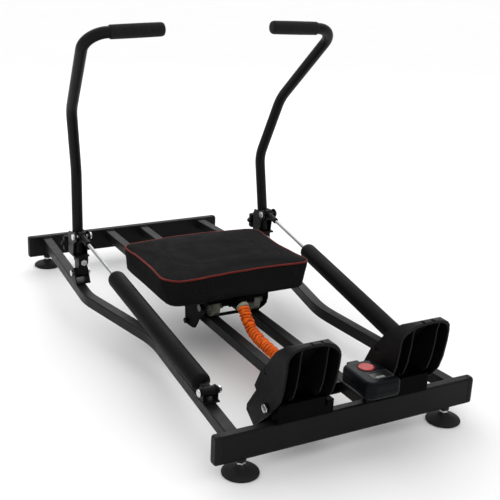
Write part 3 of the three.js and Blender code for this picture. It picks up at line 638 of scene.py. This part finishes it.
prof = [(0, 196), (13.4, 196), (14, 196.6), (14, 207.4), (13.4, 208), (4.2, 208)] + [(4.0, 208.6 + (RL - 32 - 208.6) * k / 24) for k in range(25)] + [(0, RL - 32)]
both(lathe("rod", prof, cb, cd, RODS, 40), "rod_{}", "polished_rod", "piston_rod_{}")
# black rod end: threaded collar and an upright eye with a slot
prof = [(0, RL - 44.6), (4.4, RL - 44.6), (6.4, RL - 44.4), (7.2, RL - 43.6), (7.4, RL - 40), (7.4, RL - 22), (7.8, RL - 21), (7.8, RL - 8.5), (0, RL - 8.5)]
both(lathe("rod_collar", prof, cb, cd, POWDER, 32), "rod_{}", "frame_paint")
ex = Vector((cd.y, -cd.x, 0)).normalized()
ez = ex.cross(cd).normalized()
def stadium(r, z0, z1, x, n=14):
    out = []
    for i in range(2 * n + 2):
        t = math.pi * (i if i <= n else i - 1) / n
        u, v = r * math.cos(t), r * math.sin(t) + (z1 if i <= n else z0)
        out.append(pin + ex * x + cd * u + ez * v)
    return out
rows = [stadium(5.8, -7.2, 1.9, -8.6), stadium(6.2, -7.2, 1.9, -9.0), stadium(8.6, -7.2, 1.9, -9.0), stadium(9.4, -7.2, 1.9, -8.2), stadium(9.4, -7.2, 1.9, 8.2), stadium(8.6, -7.2, 1.9, 9.0), stadium(6.2, -7.2, 1.9, 9.0), stadium(5.8, -7.2, 1.9, 8.6)]
m = len(rows[0])
faces = [(i * m + j, i * m + (j + 1) % m, ((i + 1) % len(rows)) * m + (j + 1) % m, ((i + 1) % len(rows)) * m + j) for i in range(len(rows)) for j in range(m)]
both(make("rod_eye", [q for r in rows for q in r], faces, POWDER), "rod_{}", "frame_paint")
for nm, d in (("outer", 1), ("inner", -1)):
    dome = [(0, 0), (7.4, 0), (7.8, 0.5), (7.6, 1.4), (6.6, 2.5), (4.6, 3.5), (2.2, 4.0), (0, 4.1)]
    if d > 0:
        both(lathe(f"cylinder_bolt_{nm}", dome, (234.5 + 19.2 * d, 139, 102), (d, 0, 0), PLATED, 40), "cylinder_swivel_{}", "plated_steel")
    else:
        both(hexnut(f"cylinder_nut_{nm}", (234.5 + 19.2 * d, 139, 102), (d, 0, 0), 13, 6.5, PLATED, turn=0.3), "cylinder_swivel_{}", "plated_steel")

# ------------------------------------------------------------------ counter
cx0, cx1, cy0, cy1, cz0, cz1 = -9, 63.4, -52, 42, 122, 158
def plan(z, inset, lean=0.0):
    rr = [max(q - inset, 2.0) for q in (26, 12, 18, 9)]
    return [Vector((x, y, z)) for (x, y) in rrect(cx0 + inset, cx1 - inset, cy0 + inset, cy1 - inset, rr, 8)]
case = layers("counter_case", [plan(122, 8.5), plan(122.5, 5.8), plan(123.8, 3.2), plan(126.2, 1.2), plan(129.5, 0.2), plan(133, 0.0), plan(138.0, 0.0), plan(138.4, 0.7), plan(139.2, 0.7), plan(139.6, 0.0), plan(149, 0.0), plan(153, 0.9), plan(155.8, 2.6), plan(157.3, 4.8), plan(158, 7.5)], COUNTER)
def block(name, x0, x1, y0, y1, z0, z1, r, material=None):
    lo = [Vector((x, y, z0)) for x, y in rrect(x0, x1, y0, y1, r, 5, 0)]
    hi = [Vector((x, y, z1)) for x, y in rrect(x0, x1, y0, y1, r, 5, 0)]
    return layers(name, [lo, hi], material or COUNTER)
def boolean(obj, other, op):
    m = obj.modifiers.new("b", "BOOLEAN")
    m.operation, m.object, m.solver = op, other, "EXACT"
    bpy.context.view_layer.update()
    new = bpy.data.meshes.new_from_object(obj.evaluated_get(bpy.context.evaluated_depsgraph_get()))
    obj.modifiers.clear()
    obj.data = new
    bpy.data.objects.remove(other)
hole = lathe("h", [(0, 150.5), (16.0, 150.5), (16.0, 165), (0, 165)], (27.5, 11.5, 0), (0, 0, 1), COUNTER, 48)
boolean(case, hole, "DIFFERENCE")
boolean(case, block("h", 13, 56, -37, -10, 156.3, 170, 3), "DIFFERENCE")
finish(case, 38)
put(case, "frame", "counter_case", "console_housing")
carriage = bpy.data.objects["carriage"]
for x0, x1 in ((41, 75.2), (-75.2, -41)):
    boolean(carriage, block("h", x0, x1, 460, 469.6, 100, 122.5, 0.4), "DIFFERENCE")
finish(carriage, 40)
post = block("stand_post", 50.2, 63.2, 0.3, 13.4, 88.9, 116.8, 1.0)
post.data.materials.clear()
post.data.materials.append(STAND)
both(post, "frame", "black_plastic")
neck = block("counter_neck", 27, 45, 3, 17.5, 88.8, 126, 2.5)
put(neck, "frame", "counter_case")
tab = layers("counter_plug", [[Vector((x, y, z)) for x, y in rrect(10 + i, 35 - i, 36, 52 - i, 2.5, 5)] for z, i in ((138, 1.0), (138.6, 0.2), (139.4, 0), (152.0, 0), (153.4, 0.5), (154.0, 1.6))], COUNTER)
put(tab, "frame", "counter_case")
collar = lathe("button_collar", [(16.1, 157.6), (16.1, 158.6), (16.6, 159.1), (17.6, 159.2), (18.5, 158.7), (18.9, 157.9), (16.1, 157.6)], (27.5, 11.5, 0), (0, 0, 1), COUNTER, 56)
put(collar, "frame", "counter_case")
btn = lathe("reset_key", [(0, 153.4), (15.1, 153.4), (15.5, 154.0), (15.5, 158.4), (14.9, 159.4), (13.1, 159.9), (11.2, 159.6), (9.8, 159.3), (5, 159.35), (0, 159.5)], (27.5, 11.5, 0), (0, 0, 1), BUTTON, 56)
put(btn, "reset_button", "red_button", "console_button")
glass = layers("display_window", [[Vector((x, y, z)) for x, y in rrect(14 + i, 55 - i, -36 + i, -11 - i, 2.4, 5, 0)] for z, i in ((155.9, 0), (157.0, 0), (157.3, 0.4))], LCD)
put(glass, "frame", "display", "console_display")
bez = []
for z, i in ((157.4, -1.4), (158.4, -1.4), (158.8, -1.0), (158.8, -0.2), (158.4, 0.2), (157.4, 0.2)):
    bez.append([Vector((x, y, z)) for x, y in rrect(14 + i, 55 - i, -36 + i, -11 - i, 2.6 - min(i, 0), 5, 0)])
m = len(bez[0])
faces = [(i * m + j, i * m + (j + 1) % m, ((i + 1) % 6) * m + (j + 1) % m, ((i + 1) % 6) * m + j) for i in range(6) for j in range(m)]
put(make("display_bezel", [q for r in bez for q in r], faces, BEZEL), "frame", "counter_case")
field = layers("display_field", [[Vector((x, y, z)) for x, y in rrect(21 + i, 39 - i, -33 + i, -26 - i, 1.0, 4, 0)] for z, i in ((157.0, 0), (157.55, 0), (157.7, 0.3))], FIELD)
put(field, "frame", "display")

# ------------------------------------------------------------------ elastic cord
def catmull(ctrl, step):
    pts = [Vector((0, y, z)) for y, z in ctrl]
    ext = [pts[0] * 2 - pts[1]] + pts + [pts[-1] * 2 - pts[-2]]
    out = []
    for i in range(1, len(ext) - 2):
        p0, p1, p2, p3 = ext[i - 1:i + 3]
        n = max(2, int((p2 - p1).length / step))
        t0 = 0.0
        t1 = t0 + (p1 - p0).length ** 0.5
        t2 = t1 + (p2 - p1).length ** 0.5
        t3 = t2 + (p3 - p2).length ** 0.5
        for k in range(n):
            t = t1 + (t2 - t1) * k / n
            A1 = p0 * ((t1 - t) / (t1 - t0)) + p1 * ((t - t0) / (t1 - t0))
            A2 = p1 * ((t2 - t) / (t2 - t1)) + p2 * ((t - t1) / (t2 - t1))
            A3 = p2 * ((t3 - t) / (t3 - t2)) + p3 * ((t - t2) / (t3 - t2))
            B1 = A1 * ((t2 - t) / (t2 - t0)) + A2 * ((t - t0) / (t2 - t0))
            B2 = A2 * ((t3 - t) / (t3 - t1)) + A3 * ((t - t1) / (t3 - t1))
            out.append(B1 * ((t2 - t) / (t2 - t1)) + B2 * ((t - t1) / (t2 - t1)))
    out.append(pts[-1])
    return out

cord_line = catmull([(467.5, 119), (455, 118), (441, 112), (423, 94.6), (409, 85), (392, 75), (360, 67.5), (330, 66), (292, 64.5), (230, 64), (180, 66), (145, 70), (126.4, 71)], 1.25)
NS = 40
T, F = frames(cord_line, None)
verts, fold_shade = [], []
arc = 0.0
for i, p in enumerate(cord_line):
    if i:
        arc += (p - cord_line[i - 1]).length
    a, b = F[i]
    for j in range(NS):
        t = 2 * math.pi * j / NS
        c, q = math.cos(t), math.sin(t)
        ph = arc / 9.2 * 2 * math.pi + 3.4 * noise.noise(Vector((1.7, 0.4, arc * 0.045))) + 2.6 * noise.noise(Vector((c * 1.2, q * 1.2, arc * 0.06))) + 1.2 * math.sin(t + arc * 0.045)
        size = 0.72 + 0.5 * noise.noise(Vector((c * 1.4 + 5.0, q * 1.4, arc * 0.075)))
        fold = min(1.0, max(0.0, (0.5 + 0.5 * math.cos(ph)) ** 0.6 * size + 0.12))
        fine = noise.noise(Vector((c * 2.8, q * 2.8, arc * 0.2)))
        r = 10.2 + 3.7 * fold + 0.9 * fine
        if arc < 10:
            r = min(r, 11.2 + arc * 0.2)
        verts.append(p + a * (r * math.cos(t)) + b * (r * math.sin(t)))
        # painted shade mask: 1 in the fold valleys, 0 on the ridges; the elastic material darkens the valleys with it
        fold_shade.append(max(0.0, min(1.0, 1.0 - 1.15 * fold - 0.2 * fine)))
faces = [(i * NS + j, i * NS + (j + 1) % NS, (i + 1) * NS + (j + 1) % NS, (i + 1) * NS + j) for i in range(len(cord_line) - 1) for j in range(NS)]
faces += [tuple(range(NS))[::-1], tuple((len(cord_line) - 1) * NS + j for j in range(NS))]
cord = make("elastic_sleeve", verts, faces, ELASTIC, sharp=80, weighted=False)
at = cord.data.attributes.new("fold_shade", "FLOAT", "POINT")
at.data.foreach_set("value", np.array(fold_shade[:len(cord.data.vertices)], np.float32))
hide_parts("elastic_cord")
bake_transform(cord)
top_run = [p for p in cord_line if p.y > 440.5]
def tube_on(name, pts, radius, material):
    arcs = [0.0]
    for a, b in zip(pts, pts[1:]):
        arcs.append(arcs[-1] + (b - a).length)
    return sweep(name, pts, ring2(1.0, 40), material, caps=True, scale=lambda i: radius(arcs[i], arcs[-1]), sharp=60)
def ferrule_r(a, L):
    return 14.2 - 1.6 * max(0.0, 1 - a / 1.6) ** 2 - 1.8 * max(0.0, 1 - (L - a) / 2.2) ** 2 + 0.25 * math.cos(a * 1.9)
def cuff_r(a, L):
    return 14.3 - 2.0 * max(0.0, 1 - a / 1.8) ** 2 - 2.4 * max(0.0, 1 - (L - a) / 2.4) ** 2
put(tube_on("elastic_ferrule", [p for p in top_run if p.y > 446.5], ferrule_r, STAND), "seat", "elastic_orange")
put(tube_on("elastic_cuff", [p for p in top_run if p.y < 449.0], cuff_r, CUFF), "seat", "elastic_orange")

# ------------------------------------------------------------------ seat cushion
SEAT = dict(y0=454.0, y1=739.0, z0=133.8, z1=197.5)
def seat_half(y, f=1.0):
    """Half width of the cushion: full at the top corners (f = 1), drawn in at the middle, straight at the base (f = 0)."""
    t = (y - SEAT["y0"]) / (SEAT["y1"] - SEAT["y0"])
    k = math.sin(math.pi * min(1, max(0, t))) ** 2
    return (173.0 + 12.5 * f) - 8.5 * f * k

def seat_outline(inset, f=1.0, n=10):
    """Closed outline in plan, inset from the cushion's edge; the top corners are rounder than the base ones."""
    y0, y1 = SEAT["y0"] + inset, SEAT["y1"] - inset
    r = max(30 + 8 * f - inset, 6)
    rf = max(23 - inset, 6)
    pts = []
    ys = [y0 + r + (y1 - y0 - 2 * r) * i / 26 for i in range(27)]
    for y in ys:
        pts.append((seat_half(y, f) - inset, y))
    h1 = seat_half(y1 - r, f) - inset
    for i in range(1, n):
        t = math.pi / 2 * i / n
        pts.append((h1 - r + r * math.cos(t), y1 - r + r * math.sin(t)))
    xs = [h1 - r - 2 * (h1 - r) * i / 30 for i in range(31)]
    pts += [(x, y1) for x in xs]
    for i in range(1, n):
        t = math.pi / 2 * i / n
        pts.append((-(h1 - r) - r * math.sin(t), y1 - r + r * math.cos(t)))
    pts += [(-(seat_half(y, f) - inset), y) for y in reversed(ys)]
    h0 = seat_half(y0 + r, f) - inset
    for i in range(1, n):
        t = math.pi / 2 * i / n
        pts.append((-(h0 - r) - r * math.cos(t) + 2.5 * f * math.sin(2 * t), y0 + r - r * math.sin(t) + 2.5 * f * math.sin(2 * t)))
    hr = h0 + 1.5 * f
    pts += [(-(h0 - r) + (h0 - r + hr - rf) * i / 30, y0) for i in range(31)]
    for i in range(1, n):
        t = math.pi / 2 * i / n
        pts.append(((hr - rf) + rf * math.sin(t), y0 + rf - rf * math.cos(t)))
    # front edge slightly hollow, rear edge slightly bowed
    mid, half = (SEAT["y0"] + SEAT["y1"]) / 2, (SEAT["y1"] - SEAT["y0"]) / 2
    out = []
    for x, y in pts:
        q = (y - mid) / half
        if q < 0:
            y += f * (7.5 * max(0.0, 1 - (x / 135) ** 2) + np.interp(x, (-185, -140, -84, -20, 36, 94, 148, 185), (-1.5, -6.0, -6.0, -1.5, 2.5, 5.0, 1.5, 0.0))) * q ** 4
        else:
            y -= f * 11.0 * min(1.0, (x / 150) ** 2) * q * q
        out.append((x, y))
    return out

def seat_layer(z, inset):
    return [Vector((x, y, z)) for x, y in seat_outline(inset, min(1.0, max(0.0, (z - 136) / 46)) ** 0.9)]

cushion = layers("seat_pad", [seat_layer(133.8, 34), seat_layer(131.6, 22), seat_layer(130.2, 14), seat_layer(130.0, 8), seat_layer(131.2, 5.2), seat_layer(134.5, 3.6), seat_layer(142, 3.0), seat_layer(150, 2.8), seat_layer(160, 2.6), seat_layer(170, 2.4), seat_layer(178, 2.2), seat_layer(184, 2.0), seat_layer(190, 1.8), seat_layer(193.0, 2.2), seat_layer(195.0, 4.4), seat_layer(195.8, 9.0)], CLOTH, sharp=60)
rm = cushion.modifiers.new("remesh", "REMESH")
rm.mode, rm.voxel_size = "VOXEL", 0.005
bpy.context.view_layer.update()
cushion.data = bpy.data.meshes.new_from_object(cushion.evaluated_get(bpy.context.evaluated_depsgraph_get()))
cushion.modifiers.clear()
rest = np.array([v.co for v in cushion.data.vertices])
group = cushion.vertex_groups.new(name="pin")
low = [i for i, c in enumerate(rest) if c[2] < 0.1375]
group.add(low, 1.0, "REPLACE")
cl = cushion.modifiers.new("cloth", "CLOTH")
st = cl.settings
st.quality = 5
st.mass = 0.3
st.tension_stiffness = st.compression_stiffness = 15
st.shear_stiffness = 8
st.bending_stiffness = 0.6
st.use_pressure = True
st.uniform_pressure_force = 4.0
st.effector_weights.gravity = 0.0
st.vertex_group_mass = "pin"
cl.collision_settings.use_collision = False
for f in range(1, 21):
    scene.frame_set(f)
ev = cushion.evaluated_get(bpy.context.evaluated_depsgraph_get())
swollen = np.array([v.co for v in ev.data.vertices])
cushion.modifiers.clear()
scene.frame_set(1)
move = swollen - rest
length = np.linalg.norm(move, axis=1)
# the side panel is firm, the top face swells most in its middle
ex = np.clip(1 - (np.abs(rest[:, 0]) / 0.178) ** 4, 0, 1)
ey = np.clip(1 - (np.abs(rest[:, 1] - (0.5965 - 0.5685)) / 0.138) ** 4, 0, 1)
top = rest[:, 2] > 0.1935
cap = np.where(top, 0.0015 + 0.0065 * ex * ey, 0.0022)
k = np.minimum(1.0, cap / np.maximum(length, 1e-9))
new = rest + move * k[:, None]
cushion.data.vertices.foreach_set("co", new.astype(np.float32).ravel())
cushion.data.update()
sub = cushion.modifiers.new("smooth", "SMOOTH")
sub.factor, sub.iterations = 0.5, 3
sd = cushion.modifiers.new("sub", "SUBSURF")
sd.levels = sd.render_levels = 1
bpy.context.view_layer.update()
cushion.data = bpy.data.meshes.new_from_object(cushion.evaluated_get(bpy.context.evaluated_depsgraph_get()))
cushion.modifiers.clear()
for p in cushion.data.polygons:
    p.use_smooth = True
cushion.data.materials.clear()
cushion.data.materials.append(CLOTH)
put(cushion, "seat", "seat_cloth", "seat_cushion")

# piping along the top edge, laid on the swollen cover
bvh = BVHTree.FromObject(cushion, bpy.context.evaluated_depsgraph_get())
def hug(x, y, z, out=0.6):
    hit = bvh.find_nearest(P(x, y, z))
    n = hit[1]
    q = hit[0] + n * (out / 1000)
    return Vector((q.x * 1000, q.y * 1000 - OFF_Y, q.z * 1000))
line = [hug(x, y, 194.2, 0.5) for x, y in seat_outline(1.6)]
for _ in range(3):
    line = [(line[i - 1] + line[i] * 2 + line[(i + 1) % len(line)]) / 4 for i in range(len(line))]
line.append(line[0])
line.append(line[1])
pipe = sweep("seat_piping", line, ring2(2.3, 14), PIPING, caps=False, sharp=80, weighted=False)
put(pipe, "seat", "seat_cloth")
# seam below the piping where the top and side panels join, and the hem at the base
for nm, z, ins, r, f in (("upper", 189.6, 1.6, 0.6, 1.0), ("lower", 137.0, 3.4, 0.8, 0.05)):
    ln = [hug(x, y, z, 0.15) for x, y in seat_outline(ins, f)]
    for _ in range(2):
        ln = [(ln[i - 1] + ln[i] * 2 + ln[(i + 1) % len(ln)]) / 4 for i in range(len(ln))]
    ln += [ln[0], ln[1]]
    put(sweep(f"seat_seam_{nm}", ln, ring2(r, 8), CLOTH, caps=False, sharp=80, weighted=False), "seat", "seat_cloth")

# ------------------------------------------------------------------ floor, light
fm = Mat("floor", (0.90, 0.90, 0.90), 0.9, Specular_IOR_Level=0.1)
fm.tint(fm.noise(3, 2), (0.89, 0.89, 0.89), 0.4, 0.6, 0.5)
s = 14.0
me = bpy.data.meshes.new("floor")
me.from_pydata([(-s, -s, 0), (s, -s, 0), (s, s, 0), (-s, s, 0)], [], [(0, 1, 2, 3)])
floor = bpy.data.objects.new("floor", me)
scene.collection.objects.link(floor)
me.materials.append(fm.m)

world = bpy.data.worlds.new("world")
scene.world = world
world.use_nodes = True
bg = world.node_tree.nodes["Background"]
bg.inputs["Color"].default_value = (1, 1, 1, 1)
bg.inputs["Strength"].default_value = 0.66


def area(name, loc, target, size, power, sy=None):
    d = bpy.data.lights.new(name, "AREA")
    d.energy = power
    d.shape = "RECTANGLE"
    d.size = size
    d.size_y = sy or size
    o = bpy.data.objects.new(name, d)
    scene.collection.objects.link(o)
    o.matrix_world = Matrix.Translation(loc) @ (Vector(target) - Vector(loc)).to_track_quat("-Z", "Y").to_matrix().to_4x4()
    return o


sun = bpy.data.lights.new("sky_panel", "SUN")
sun.energy = 1.45
sun.angle = math.radians(110)
so = bpy.data.objects.new("sky_panel", sun)
scene.collection.objects.link(so)
so.matrix_world = Vector((0.15, 0.25, 1.0)).to_track_quat("Z", "Y").to_matrix().to_4x4()
area("back_softbox", (0.8, 2.6, 2.0), (0, 0, 0.2), 3.0, 26, 1.6)
area("front_softbox", (-0.6, -3.2, 1.0), (0, 0, 0.2), 2.0, 6, 1.2)
area("left_softbox", (-2.6, 0.2, 1.7), (0, 0, 0.3), 1.6, 7, 1.2)

scene.view_settings.view_transform = "Standard"
scene.view_settings.look = "None"

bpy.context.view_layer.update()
